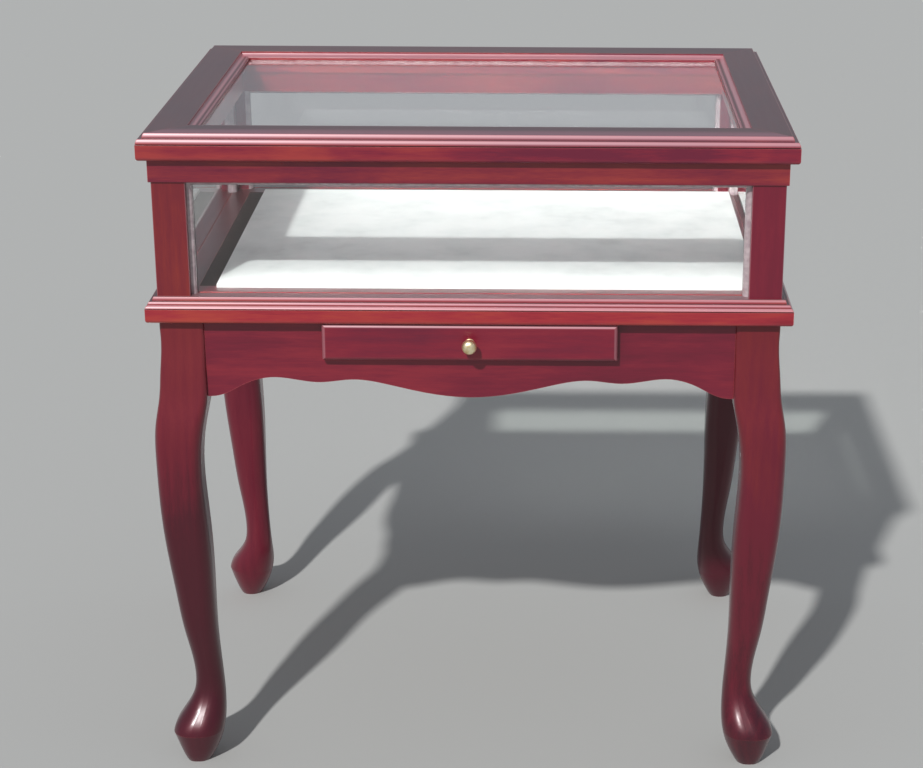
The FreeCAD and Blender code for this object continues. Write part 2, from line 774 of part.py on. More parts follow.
def hinge_leaf(lid_side):
    """A butt hinge leaf with its knuckles, bored for the pin and countersunk for its screws."""
    leaf = leaf_plate()
    for x0, x1 in knuckle_spans(not lid_side):
        leaf = leaf.cut(barrel(hinge_barrel_radius + hinge_play, x0 - hinge_play, x1 + hinge_play))
    for x0, x1 in knuckle_spans(lid_side):
        leaf = leaf.fuse(barrel(hinge_barrel_radius, x0, x1))
    leaf = leaf.cut(barrel(hinge_pin_radius + hinge_pin_clearance, -hinge_length, hinge_length))
    for place in leaf_screw_places():
        leaf = leaf.cut(aimed(screw_pattern(glue_gap), place, Vector(0, 0, -1)))
    leaf = leaf.removeSplitter()
    return mirror_to_lid(leaf) if lid_side else leaf


def screw_pattern(gap):
    """A hinge screw's shape, without its slot, or its hole with a gap."""
    head = hinge_screw_radius
    shank = rod(hinge_screw_radius + gap, Vector(0, 0, -hinge_screw_length - gap), Vector(0, 0, 1),
                hinge_screw_length + gap)
    cone = Part.makeCone(hinge_screw_radius + gap, 2 * hinge_screw_radius + gap, head, Vector(0, 0, -head))
    return shank.fuse(cone)


def hinge_recess(lid_side):
    """What one hinge cuts out of the rail: the leaf's seat, the barrel's hollow and the screws' holes."""
    half = hinge_length / 2 + glue_gap
    seat = block(-half, half, pin_y - hinge_leaf_width - glue_gap, pin_y, rail_top - hinge_leaf_thickness,
                 rail_top + over)
    hollow = barrel(hinge_barrel_radius + hinge_play, -hinge_length / 2 - hinge_play,
                    hinge_length / 2 + hinge_play)
    recess = seat.fuse(hollow)
    for place in leaf_screw_places():
        recess = recess.fuse(aimed(screw_pattern(glue_gap), place, Vector(0, 0, -1)))
    return mirror_to_lid(recess) if lid_side else recess


def hinge_screws(lid_side):
    screw = countersunk_screw(hinge_screw_radius, hinge_screw_length, 2 * hinge_screw_radius)
    placed = [aimed(screw, place, Vector(0, 0, -1)) for place in leaf_screw_places()]
    if lid_side:
        placed = [mirror_to_lid(each) for each in placed]
    return group([moved(each, x, 0, 0) for each in placed for x in (-hinge_offset, hinge_offset)])


def at_hinges(shape, rail):
    """The rail with a shape cut out at both hinges."""
    for x in (-hinge_offset, hinge_offset):
        rail = rail.cut(moved(shape, x, 0, 0))
    return rail


# ---------------------------------------------------------------- the whole table
for corner, x_side, y_side in (("front_left", -1, -1), ("front_right", 1, -1),
                               ("rear_left", -1, 1), ("rear_right", 1, 1)):
    pieces[corner + "_leg"] = mirrored(leg(), x_side, y_side)
    pieces[corner + "_post"] = mirrored(post(), x_side, y_side)

pieces["front_apron"] = front_apron()
pieces["rear_apron"] = rear_apron()
pieces["left_apron"] = side_apron(-1)
pieces["right_apron"] = side_apron(1)
pieces["corner_blocks"] = corner_blocks()
pieces["corner_block_screws"] = corner_screws()
pieces["base_frame_screws"] = base_frame_screws()

opening_x = 2 * (post_out_x - post_size)
opening_y = 2 * (post_out_y - post_size)
panes = {"front": (opening_x, 2 * post_out_y, 0), "rear": (opening_x, 2 * post_out_y, 180),
         "left": (opening_y, 2 * post_out_x, -90), "right": (opening_y, 2 * post_out_x, 90)}

base_sides = frame_sides(base_section(), lid_width, lid_depth, base_rail_width)
for name, side in base_sides.items():
    side = side.cut(all_dowels(glue_gap)).cut(upright_screw_holes())
    pieces["base_" + name + "_rail"] = side.cut(pane_groove(*panes[name]))

panel_half_x = half_width - base_rail_width + panel_seat - glue_gap
panel_half_y = half_depth - base_rail_width + panel_seat - glue_gap
pieces["base_panel"] = block(-panel_half_x, panel_half_x, -panel_half_y, panel_half_y,
                             base_top - panel_thickness, base_top)

room_x = post_out_x - glass_in
room_y = post_out_y - glass_in
pieces["display_board"] = block(board_side_gap - room_x, room_x - glue_gap,
                                board_front_gap - room_y, room_y - board_rear_gap,
                                base_top, base_top + board_thickness)

pieces["post_dowels"] = all_dowels(0)
top_sides = frame_sides(top_section(), lid_width - 2 * top_rail_inset, lid_depth - 2 * top_rail_inset,
                        top_rail_width)
for name, side in top_sides.items():
    rail = side.cut(all_dowels(glue_gap))
    if name == "rear":
        rail = at_hinges(hinge_recess(False), rail)
    pieces["case_top_" + name + "_rail"] = rail

for name, place in panes.items():
    pieces[name + "_glass"] = pane(*place)
    pieces[name + "_glass_beads"] = pane_beads(*place)

lid_sides = frame_sides(lid_section(), lid_width, lid_depth, lid_rail_width)
lid_names = {"front": "lid_front_rail", "rear": "lid_rear_rail", "left": "lid_left_stile",
             "right": "lid_right_stile"}
for name, side in lid_sides.items():
    pieces[lid_names[name]] = at_hinges(hinge_recess(True), side) if name == "rear" else side

rebate_x = lid_width - 2 * (lid_rail_width - lid_rebate)
rebate_y = lid_depth - 2 * (lid_rail_width - lid_rebate)
glass_top = lid_top - lid_glass_depth
glass_low = glass_top - glass_thickness
lid_glass_x = rebate_x / 2 - glass_edge_gap
lid_glass_y = rebate_y / 2 - glass_edge_gap
pieces["lid_glass"] = block(-lid_glass_x, lid_glass_x, -lid_glass_y, lid_glass_y, glass_low, glass_top)
lid_ring = group(frame_sides(bead_section(lid_bead_size), rebate_x, rebate_y, lid_bead_size).values())
pieces["lid_glass_beads"] = moved(lid_ring.mirror(Vector(0, 0, 0), Vector(0, 0, 1)), 0, 0, glass_low)

for side, x in (("left", -hinge_offset), ("right", hinge_offset)):
    pieces[side + "_hinge_case_leaf"] = moved(hinge_leaf(False), x, 0, 0)
    pieces[side + "_hinge_lid_leaf"] = moved(hinge_leaf(True), x, 0, 0)
    pieces[side + "_hinge_pin"] = moved(barrel(hinge_pin_radius, -hinge_length / 2, hinge_length / 2),
                                        x, 0, 0)
pieces["hinge_case_screws"] = hinge_screws(False)
pieces["hinge_lid_screws"] = hinge_screws(True)

pieces["drawer_front"] = drawer_front()
pieces["drawer_left_side"] = drawer_side(-1)
pieces["drawer_right_side"] = drawer_side(1)
pieces["drawer_back"] = drawer_back()
pieces["drawer_bottom"] = drawer_bottom(0)
pieces["drawer_left_runner"] = runner(-1)
pieces["drawer_right_runner"] = runner(1)
pieces["drawer_kickers"] = kickers()
pieces["drawer_knob"] = knob()
pieces["drawer_knob_screw"] = knob_screw()

os.makedirs("parts", exist_ok=True)
for name, shape in pieces.items():
    shape = moved(shape, 0, centring, 0)
    if not shape.isValid():
        print("not valid:", name)
    print(name, len(shape.Solids), round(shape.Volume / 1000, 2), "cm3")
    shape.exportStep("parts/" + name + ".step")
print(len(pieces), "nodes")
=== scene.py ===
# %% [markdown]
# # A collectors display table
#
# The table is a glazed case on four cabriole legs. Its wood is cherry, stained red and sprayed with
# gloss lacquer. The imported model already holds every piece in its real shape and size, so this scene
# adds no piece to it: it gives each one its finish, and then lights them.

# %% Load the frame
import json
import math

import bmesh
import bpy
from mathutils import Matrix, Vector


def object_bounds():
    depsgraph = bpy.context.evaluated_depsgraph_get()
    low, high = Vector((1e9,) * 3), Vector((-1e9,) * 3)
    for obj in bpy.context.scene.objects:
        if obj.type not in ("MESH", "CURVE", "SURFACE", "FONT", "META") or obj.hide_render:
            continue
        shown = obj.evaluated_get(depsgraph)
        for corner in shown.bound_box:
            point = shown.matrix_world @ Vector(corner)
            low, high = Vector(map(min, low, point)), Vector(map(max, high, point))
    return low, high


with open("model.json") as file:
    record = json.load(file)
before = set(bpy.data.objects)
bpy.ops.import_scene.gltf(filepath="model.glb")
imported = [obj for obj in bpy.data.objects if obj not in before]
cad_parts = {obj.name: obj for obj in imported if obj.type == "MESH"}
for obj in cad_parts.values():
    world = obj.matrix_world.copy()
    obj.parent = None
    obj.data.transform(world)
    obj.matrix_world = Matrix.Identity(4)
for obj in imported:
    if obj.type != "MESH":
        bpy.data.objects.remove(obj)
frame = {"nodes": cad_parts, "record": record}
cad_low, cad_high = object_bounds()
nodes = frame["nodes"]
middle = (cad_low + cad_high) / 2
print("the table is", [round(side * 1000, 1) for side in cad_high - cad_low], "mm")

# %% [markdown]
# Blender works in metres, and a maker thinks in millimetres, so one value turns one into the other.
# Paint colours are written as sRGB hex, as a colour card gives them, and Blender's shaders want
# linear light, so one function turns them.

# %% Units and colours
MM = 0.001


def colour(hex_value):
    """An sRGB hex colour as linear red, green, blue and alpha."""
    parts = [int(hex_value[place:place + 2], 16) / 255 for place in (1, 3, 5)]
    linear = [part / 12.92 if part <= 0.04045 else ((part + 0.055) / 1.055) ** 2.4 for part in parts]
    return (*linear, 1.0)


def per_metre(size_mm):
    """A texture's scale, from the size in millimetres that one of its features has."""
    return 1000.0 / size_mm


print("a grey of #808080 is", round(colour("#808080")[0], 3), "in linear light")

# %% [markdown]
# A finish is a small graph of shader nodes. One function adds a node of any kind: its settings, the
# values or links of its inputs, and the stops of a colour ramp. A new material comes with a shader
# of its own, so a finish is emptied first, and every node in it is then there on purpose.

# %% Adding nodes
def add_node(tree, kind, inputs=None, stops=(), **settings):
    """Add a node with its settings, its input values or links, and a ramp's stops."""
    node = tree.nodes.new("ShaderNode" + kind)
    for name, value in settings.items():
        setattr(node, name, value)
    for name, value in (inputs or {}).items():
        if isinstance(value, bpy.types.NodeSocket):
            tree.links.new(value, node.inputs[name])
        else:
            node.inputs[name].default_value = value
    for place, (position, hex_value) in enumerate(stops):
        ramp = node.color_ramp.elements
        stop = ramp[place] if place < len(ramp) else ramp.new(position)
        stop.position = position
        stop.color = colour(hex_value)
    return node


def new_finish(name):
    """An empty material, its node tree and the Object coordinates that its patterns read."""
    material = bpy.data.materials.new(name)
    material.use_nodes = True
    material.node_tree.nodes.clear()
    tree = material.node_tree
    return material, tree, add_node(tree, "TexCoord").outputs["Object"]


# %% [markdown]
# The camera stands in front of the table and a little to its right, looks straight back and about
# twenty degrees down, from nearly two metres. A long lens keeps the rails nearly parallel, as the
# eye sees them from there. The frame is set a little to one side with the lens shift, as a view
# camera does, because turning the camera would make the rails converge.

# %% Camera
CAMERA_PLACE = Vector((68, -1876, 969)) * MM
CAMERA_DOWN = math.radians(19.63)
CAMERA_ROLL = math.radians(0.32)
SENSOR_WIDTH = 36          # millimetres, as on a full-frame camera
IMAGE_WIDTH = 923
FOCAL_PIXELS = 2126
AXIS_PIXEL = 550.7

lens = bpy.data.cameras.new("camera")
lens.sensor_width = SENSOR_WIDTH
lens.lens = FOCAL_PIXELS * SENSOR_WIDTH / IMAGE_WIDTH
lens.shift_x = (IMAGE_WIDTH / 2 - AXIS_PIXEL) / IMAGE_WIDTH
camera = bpy.data.objects.new("camera", lens)
bpy.context.scene.collection.objects.link(camera)
tilt = Matrix.Rotation(math.pi / 2 - CAMERA_DOWN, 4, "X") @ Matrix.Rotation(CAMERA_ROLL, 4, "Z")
camera.matrix_world = Matrix.Translation(CAMERA_PLACE) @ tilt
bpy.context.scene.camera = camera
bpy.context.scene.view_settings.view_transform = "Standard"
print("lens", round(lens.lens, 1), "mm")

# %% [markdown]
# The room is one plain pale grey, faintly blue as daylight in the shade is. Gloss and glass show the
# same grey that the camera sees, and it fills the shadows, so no second lamp is needed.

# %% Room
ROOM_TONE = "#EAF0FA"
ROOM_LIGHT = 0.42

world = bpy.data.worlds.new("room")
bpy.context.scene.world = world
world.use_nodes = True
room = world.node_tree
room.nodes.clear()
pale = add_node(room, "Background", {"Color": colour(ROOM_TONE), "Strength": ROOM_LIGHT})
add_node(room, "OutputWorld", {"Surface": pale.outputs[0]})
print("the room alone lights a white surface to", ROOM_LIGHT, "of white")

# %% [markdown]
# The floor is one large pale disc with a matt finish. It catches the shadow and bounces light up
# under the table, as a studio sweep does.

# %% Floor
FLOOR_RADIUS = 30.0        # metres, so that its edge is far off in every view
FLOOR_SIDES = 96

disc = bmesh.new()
bmesh.ops.create_circle(disc, cap_ends=True, segments=FLOOR_SIDES, radius=FLOOR_RADIUS)
floor_mesh = bpy.data.meshes.new("floor")
disc.to_mesh(floor_mesh)
disc.free()
floor = bpy.data.objects.new("floor", floor_mesh)
bpy.context.scene.collection.objects.link(floor)
floor_finish, tree, place = new_finish("pale_floor")
matt = add_node(tree, "BsdfPrincipled", {"Base Color": colour("#B2B2AF"), "Roughness": 0.9,
                                         "Specular IOR Level": 0.1})
add_node(tree, "OutputMaterial", {"Surface": matt.outputs[0]})
floor_mesh.materials.append(floor_finish)
print("the floor is", 2 * FLOOR_RADIUS, "m across")

# %% [markdown]
# The key light comes from the front, twenty degrees to the left and some forty degrees up. It rakes
# over the beads, so each one carries a bright line, and it throws the shadows of the lid's rails on
# the board inside. A sun lamp gives both ends of a rail the same light wherever it stands, and this
# one is small enough that the edges of those shadows stay fairly crisp.

# %% Key light
KEY_FROM = Vector((-0.40, -1.10, 1.04))
KEY_DISTANCE = 3.0         # only keeps the lamp clear of the table in the editor
KEY_STRENGTH = 3.0         # the white card then renders a little under white
KEY_BREADTH = math.radians(2.0)

lamp = bpy.data.lights.new("key", "SUN")
lamp.energy = KEY_STRENGTH
lamp.angle = KEY_BREADTH
key = bpy.data.objects.new("key", lamp)
bpy.context.scene.collection.objects.link(key)
key.location = middle + KEY_DISTANCE * KEY_FROM
key.rotation_euler = KEY_FROM.to_track_quat("Z", "Y").to_euler()
key_up = math.asin(KEY_FROM.normalized().z)
print("the key light stands", round(math.degrees(key_up)), "degrees up")

# %% [markdown]
# ## Lacquered cherry
#
# Cherry is a close-grained wood. Under a red stain and a sprayed lacquer only soft figure shows:
# streaks a few millimetres across that run the length of each board, fine darker fibres, faint
# growth rings, and clouds where the wood took more or less of the stain. Each board was cut with its
# grain along its length, so a pattern is squeezed along one axis, which stretches its marks along
# the grain.

# %% Patterns along the grain
GRAIN_STRETCH = 14.0       # how much longer a mark is along the grain than across it
CLOUD_STRETCH = 2.5
WAVE_TURN = 0.314          # a wave texture repeats after this many metres at scale one


def along_grain(tree, place, grain, stretch, offset_mm=(0, 0, 0)):
    """Coordinates in which a pattern is stretched along the grain."""
    squeeze = [1.0, 1.0, 1.0]
    squeeze["xyz".index(grain)] = 1 / stretch
    return add_node(tree, "Mapping", {"Vector": place, "Scale": squeeze,
                                      "Location": [offset * MM for offset in offset_mm]}).outputs[0]


def blend(tree, layers):
    """The sum of several patterns, each times its own share."""
    total = 0.0
    for pattern, share in layers:
        total = add_node(tree, "Math", {0: pattern, 1: share, 2: total},
                         operation="MULTIPLY_ADD").outputs[0]
    return total


print("a mark on the wood is", GRAIN_STRETCH, "times as long as it is wide")

# %% [markdown]
# The figure is a sum of four patterns, each worked out from the real size of its marks. The clouds
# count most. A calm cut has less of all four and more of their average, as the shaped surface of a
# leg does, and a drift makes a board lighter towards one end.

# %% The figure of cherry
FIBRE_MM = 0.8             # real fibres are finer, and this is the finest that still shows
STREAK_MM = 4.0
RING_MM = 9.0
CLOUD_MM = 70.0
CLOUD_SHARE = 0.56
STREAK_SHARE = 0.20
FIBRE_SHARE = 0.20
RING_SHARE = 0.04
AVERAGE_FIGURE = 0.5       # what the four come to on average


def cherry_figure(tree, place, grain, heart_mm, calm, drift):
    """The wood's figure from 0, dark, to 1, light, and two of its patterns: fibres and streaks."""
    board = along_grain(tree, place, grain, GRAIN_STRETCH, heart_mm)
    wide = along_grain(tree, place, grain, CLOUD_STRETCH, heart_mm)
    fibres = add_node(tree, "TexNoise", {"Vector": board, "Scale": per_metre(FIBRE_MM),
                                         "Detail": 3.0, "Roughness": 0.6}).outputs[0]
    streaks = add_node(tree, "TexNoise", {"Vector": board, "Scale": per_metre(STREAK_MM),
                                          "Detail": 3.0, "Roughness": 0.55}).outputs[0]
    clouds = add_node(tree, "TexNoise", {"Vector": wide, "Scale": per_metre(CLOUD_MM),
                                         "Detail": 3.0, "Distortion": 0.6}).outputs[0]
    rings = add_node(tree, "TexWave", {"Vector": board, "Scale": WAVE_TURN * per_metre(RING_MM),
                                       "Distortion": 7.0, "Detail": 2.0, "Detail Scale": 0.5},
                     wave_type="RINGS", rings_direction=grain.upper()).outputs["Fac"]
    end_to_end = add_node(tree, "SeparateXYZ", {"Vector": place}).outputs["xyz".index(grain)]
    lively = 1.0 - calm
    figure = blend(tree, ((clouds, CLOUD_SHARE * lively), (streaks, STREAK_SHARE * lively),
                          (fibres, FIBRE_SHARE * lively), (rings, RING_SHARE * lively),
                          (1.0, AVERAGE_FIGURE * calm), (end_to_end, drift)))
    return figure, fibres, streaks


print("a streak is", STREAK_MM, "mm wide and some", STREAK_MM * GRAIN_STRETCH, "mm long")

# %% [markdown]
# The flats that face up get a dark tone: painted shade that makes them as dark as flats mirroring a
# dark room. Only on the front rails, outside the front pane, those flats get a greyish pink instead,
# a painted sheen. The place along Y tells the two apart, because a imported piece's Object coordinates
# are the table's own.

# %% Painted shade and sheen on the flats
# Painted shade on flats that face up; the front flats outside the pane get a painted sheen instead.
FLAT_SHADE = "#280810"
PANE_PLACE = (-0.166, -0.176)     # from behind the front pane to before it, in metres


def painted_flat_tone(tree, place, sheened):
    """The painted shade of the flats, or the painted sheen of the front flats outside the pane."""
    if not sheened:
        return colour(FLAT_SHADE)
    forward = add_node(tree, "SeparateXYZ", {"Vector": place}).outputs["Y"]
    outside = add_node(tree, "MapRange", {"Value": forward, "From Min": PANE_PLACE[0],
                                          "From Max": PANE_PLACE[1]}).outputs[0]
    return add_node(tree, "MixRGB", {"Fac": outside, "Color1": colour(FLAT_SHADE),
                                     "Color2": colour(sheened)}).outputs[0]


print("handled flats start", round(-PANE_PLACE[1] / MM), "mm in front of the middle")

# %% [markdown]
# Sloped faces and rounded edges go the other way: they get a pale pink, a painted highlight that
# stands in for the broad sheen the light gives the beads. Flats and slopes are both read from the
# surface's own direction, which turns with the lid. A direction whose largest part is well under one
# lies along no axis, so it belongs to a slope. The painted highlight is full on what faces up and
# absent on what faces down.

# %% Painted shade on flats and painted highlights on slopes
# The pale pink of the painted highlight on slopes, and how far it reaches.
SLOPE_HIGHLIGHT = "#BE8C94"
SLOPE_STARTS = 0.992       # the largest part of a direction that is seven degrees off its axis
SLOPE_IS_FULL = 0.945      # and nineteen degrees off
SLOPE_SHARE = 0.68
UPWARD_LIGHT_REACH = 0.35        # the upward part of a direction at which the painted highlight is full
FLAT_STARTS = 0.93
FLAT_IS_FULL = 0.995
FLAT_SHARE = 0.85


def slope_highlight(tree, parts, upward):
    """How strong the painted highlight is, from how oblique the surface is and how far it faces up."""
    sideways = add_node(tree, "Math", {0: parts["X"], 1: parts["Y"]},
                        operation="MAXIMUM").outputs[0]
    largest = add_node(tree, "Math", {0: sideways, 1: parts["Z"]}, operation="MAXIMUM").outputs[0]
    oblique = add_node(tree, "MapRange", {"Value": largest, "From Min": SLOPE_STARTS,
                                          "From Max": SLOPE_IS_FULL,
                                          "To Max": SLOPE_SHARE}).outputs[0]
    lit_from_above = add_node(tree, "MapRange", {"Value": upward, "From Min": -UPWARD_LIGHT_REACH,
                                          "From Max": UPWARD_LIGHT_REACH}).outputs[0]
    return add_node(tree, "Math", {0: oblique, 1: lit_from_above}, operation="MULTIPLY").outputs[0]


def painted_light_on_faces(tree, place, stain, sheened):
    """The stain, with a painted highlight on slopes and painted shade or sheen on flats facing up."""
    facing = add_node(tree, "TexCoord").outputs["Normal"]
    upward = add_node(tree, "SeparateXYZ", {"Vector": facing}).outputs["Z"]
    size = add_node(tree, "VectorMath", {0: facing}, operation="ABSOLUTE").outputs["Vector"]
    parts = add_node(tree, "SeparateXYZ", {"Vector": size}).outputs
    lightened = add_node(tree, "MixRGB", {"Fac": slope_highlight(tree, parts, upward), "Color1": stain,
                                       "Color2": colour(SLOPE_HIGHLIGHT)}).outputs[0]
    flat = add_node(tree, "MapRange", {"Value": upward, "From Min": FLAT_STARTS,
                                       "From Max": FLAT_IS_FULL, "To Max": FLAT_SHARE}).outputs[0]
    return add_node(tree, "MixRGB", {"Fac": flat, "Color1": lightened,
                                     "Color2": painted_flat_tone(tree, place, sheened)}).outputs[0]


slope_from = math.degrees(math.acos(SLOPE_STARTS))
print("a face counts as a slope from", round(slope_from, 1), "degrees off an axis")

# %% [markdown]
# The arrises are rubbed as well, and their lighter tone is partly wear, partly a painted highlight.
# The Bevel node rounds the surface's direction near an edge, and where that differs from the plain
# direction there is an edge. The narrow grooves between the beads get a near-black painted shade,
# and the Ambient Occlusion node finds those.

# %% Worn and highlighted arrises, and painted shade in the grooves
ARRIS_MM = 0.7
# A lighter tone along the arrises: partly wear, partly a painted highlight.
WORN_ARRIS_SHEEN = "#B45A58"
ARRIS_STARTS = 0.985       # how alike the two directions still are where the wear begins
ARRIS_IS_FULL = 0.88
ARRIS_SHARE = 0.75
GROOVE_MM = 2.5
# Near-black painted shade deep in the narrow grooves.
GROOVE_SHADE = "#28060E"
GROOVE_STARTS = 0.85       # how open the surface still is where the painted shade begins
GROOVE_IS_FULL = 0.45
EDGE_SAMPLES = 4


def edge_wear_and_groove_shade(tree, stain, rounded):
    """The stain, lighter at edges (wear and painted highlight), near black in grooves (painted shade).
    """
    plain = add_node(tree, "NewGeometry").outputs["Normal"]
    likeness = add_node(tree, "VectorMath", {0: rounded, 1: plain},
                        operation="DOT_PRODUCT").outputs["Value"]
    worn_and_sheened = add_node(tree, "MapRange", {"Value": likeness, "From Min": ARRIS_STARTS,
                                       "From Max": ARRIS_IS_FULL, "To Max": ARRIS_SHARE}).outputs[0]
    lightened = add_node(tree, "MixRGB", {"Fac": worn_and_sheened, "Color1": stain,
                                       "Color2": colour(WORN_ARRIS_SHEEN)}).outputs[0]
    openness = add_node(tree, "AmbientOcclusion", {"Distance": GROOVE_MM * MM},
                        samples=EDGE_SAMPLES, only_local=True).outputs["AO"]
    shaded = add_node(tree, "MapRange", {"Value": openness, "From Min": GROOVE_STARTS,
                                         "From Max": GROOVE_IS_FULL}).outputs[0]
    return add_node(tree, "MixRGB", {"Fac": shaded, "Color1": lightened,
                                     "Color2": colour(GROOVE_SHADE)}).outputs[0]


print("arrises are worn over", ARRIS_MM, "mm and grooves filled within", GROOVE_MM, "mm")

# %% [markdown]
# The shine is the lacquer's own, so it is a clear coat over a duller base, whose own shine takes the
# stain's red. Spraying leaves the coat very slightly pebbled, which is called orange peel, and the
# pores of the wood dent the colour below it. The legs were shaped, so they get no painted shade on
# their flats and no painted highlight on slopes, and they were waxed by hand over the lacquer: wax
# mirrors a little less of the room and shows a smaller, brighter highlight.

# %% The lacquer finish
ORANGE_PEEL_MM = 2.5
LACQUER_IOR = 1.5
LACQUER_ROUGHNESS = 0.33
WAX_IOR = 1.42
WAX_ROUGHNESS = 0.24
RED_SHINE = "#F098A0"
DENT_DEPTH = 0.1 * MM


def lacquered_cherry(name, grain, heart_mm, shades, calm=0.0, drift=0.0, waxed=False, sheened=None):
    """Cherry with its grain along one axis, cut at heart_mm from the heart of the log."""
    material, tree, place = new_finish(name)
    figure, fibres, streaks = cherry_figure(tree, place, grain, heart_mm, calm, drift)
    stain = add_node(tree, "ValToRGB", {"Fac": figure}, stops=shades).outputs["Color"]
    rounded = add_node(tree, "Bevel", {"Radius": ARRIS_MM * MM}, samples=EDGE_SAMPLES).outputs[0]
    # Painted shade and sheen on the flats and painted highlights on slopes; the waxed legs get none.
    if not waxed:
        stain = painted_light_on_faces(tree, place, stain, sheened)
    stain = edge_wear_and_groove_shade(tree, stain, rounded)
    peel = add_node(tree, "TexNoise", {"Vector": place,
                                       "Scale": per_metre(ORANGE_PEEL_MM)}).outputs[0]
    sprayed = add_node(tree, "Bump", {"Height": peel, "Strength": 0.06, "Distance": DENT_DEPTH,
                                      "Normal": rounded}).outputs[0]
    pores = add_node(tree, "Bump", {"Height": fibres, "Strength": 0.15,
                                    "Distance": DENT_DEPTH}).outputs[0]
    dull = add_node(tree, "MapRange", {"Value": streaks, "To Min": 0.42, "To Max": 0.52}).outputs[0]
    lacquer = add_node(tree, "BsdfPrincipled", {
        "Base Color": stain, "Roughness": dull, "Specular Tint": colour(RED_SHINE),
        "Normal": pores, "Coat Weight": 1.0, "Coat Normal": sprayed,
        "Coat Roughness": WAX_ROUGHNESS if waxed else LACQUER_ROUGHNESS,
        "Coat IOR": WAX_IOR if waxed else LACQUER_IOR})
    add_node(tree, "OutputMaterial", {"Surface": lacquer.outputs[0]})
    return material


print("orange peel has a bump every", ORANGE_PEEL_MM, "mm")

# %% [markdown]
# The boards differ in colour, as boards do: the lid and the base frame are lighter and more orange
# than the apron and the legs. Each stain is a row of shades, from dark to light, each with its place
# on the figure's scale. The front legs' rows have more steps, because a leg drifts from a dark foot
# and shin to a lighter top, and that dark is painted shade on the parts that face down; the left
# foot is a little redder than its shin. The last two are the tones of painted sheen on front flats.

# %% Stains
CRIMSON = ((0.38, "#5A0420"), (0.50, "#6C0826"), (0.62, "#80182A"))
DRAWER_RED = ((0.38, "#620828"), (0.50, "#760C28"), (0.62, "#861C2C"))
LID_RED = ((0.38, "#62062A"), (0.48, "#7E142C"), (0.62, "#9A302E"))
CASE_RED = ((0.38, "#62082A"), (0.48, "#7A1C2A"), (0.62, "#96342C"))
ORANGE_RED = ((0.38, "#7E0E22"), (0.48, "#9A202C"), (0.62, "#AC3E2C"))
LEFT_POST = ((0.38, "#5E0A1E"), (0.50, "#701620"), (0.62, "#86281E"))
REAR_LEG = ((0.38, "#4C061C"), (0.50, "#5E0A22"), (0.62, "#6E1828"))
# The front legs darken towards the foot: painted shade on the shin and foot, which face down.
LEFT_LEG = ((0.50, "#46061A"), (0.55, "#380414"), (0.62, "#420618"),
            (0.66, "#620E22"), (0.72, "#762026"))
RIGHT_LEG = ((0.50, "#320616"), (0.55, "#4C0A1C"), (0.59, "#5E0E22"),
             (0.64, "#600E24"), (0.72, "#701C22"))
# The tones of the painted sheen on the front flats of the lid and the base.
LID_FRONT_SHEEN = "#724252"
BASE_FRONT_SHEEN = "#6E595E"
print("a front leg's stain has", len(LEFT_LEG), "shades")

# %% [markdown]
# A cut is a finish for the boards that run one way and have one stain: the grain's axis, where the
# frame's origin lies as seen from the log's heart in millimetres, the stain, and where it has them,
# how calm it is, how much it drifts per metre, whether it is waxed, and the tone of the painted sheen
# on its front flats. The heart of the log lies outside every board, so the rings cross it as wide arcs.

# %% Cuts of cherry
CUTS = {
    "lid_front": ("x", (12, 95, -700), LID_RED, 0.0, -0.16, False, LID_FRONT_SHEEN),
    "lid_along": ("x", (12, 95, -700), LID_RED),
    "lid_across": ("y", (-340, 20, -650), LID_RED),
    "case_along": ("x", (70, 130, -610), CASE_RED, 0.0, 0.08),
    "case_across": ("y", (-330, 35, -620), CASE_RED),
    "base_along": ("x", (30, 110, -510), ORANGE_RED, 0.0, 0.0, False, BASE_FRONT_SHEEN),
    "base_across": ("y", (-350, 60, -500), CASE_RED),
    "apron_along": ("x", (55, 260, -330), CRIMSON),
    "apron_across": ("y", (-320, 44, -300), CRIMSON),
    "drawer_along": ("x", (20, 250, -450), DRAWER_RED),
    "left_post": ("z", (-190, 130, 10), LEFT_POST, 0.4),
    "right_post": ("z", (-190, 130, 10), CRIMSON, 0.4),
    "left_leg": ("z", (-170, 150, 40), LEFT_LEG, 0.8, 0.50, True),
    "right_leg": ("z", (-170, 150, 40), RIGHT_LEG, 0.6, 0.50, True),
    "rear_leg": ("z", (-170, 150, 40), REAR_LEG, 0.4, 0.0, True),
    # The rear right leg takes the left leg's stain with half its drift, so it is darker: painted shade,
    # as it stands in the table's shadow.
    "leg_in_painted_shade": ("z", (-170, 150, 40), LEFT_LEG, 0.8, 0.25, True),
}
cherry = {name: lacquered_cherry("cherry_" + name, *row) for name, row in CUTS.items()}
print(len(cherry), "cuts of cherry")

# %% [markdown]
# The thin beads that hold the panes were left without stain, and years of light have turned them a
# greyish pink. They have the lacquer's shine and no figure that shows at their width. The finishes
# that aren't stained cherry are kept by the name of the slot that they go to.

# %% Bleached beads
BEAD_FLECK_MM = 6.0


def bleached_bead():
    """The pale wood of the glazing beads."""
    material, tree, place = new_finish("bleached_bead")
    flecks = add_node(tree, "TexNoise", {"Vector": place, "Scale": per_metre(BEAD_FLECK_MM),
                                         "Detail": 3.0}).outputs[0]
    tone = add_node(tree, "ValToRGB", {"Fac": flecks},
                    stops=((0.35, "#A08C90"), (0.65, "#C0B0B2"))).outputs["Color"]
    dull = add_node(tree, "MapRange", {"Value": flecks, "To Min": 0.3, "To Max": 0.5}).outputs[0]
    wood = add_node(tree, "BsdfPrincipled", {"Base Color": tone, "Roughness": dull,
                                             "Coat Weight": 0.6, "Coat Roughness": 0.2})
    add_node(tree, "OutputMaterial", {"Surface": wood.outputs[0]})
    return material


finishes = {"cherry_bead": bleached_bead()}
print("made", finishes["cherry_bead"].name)

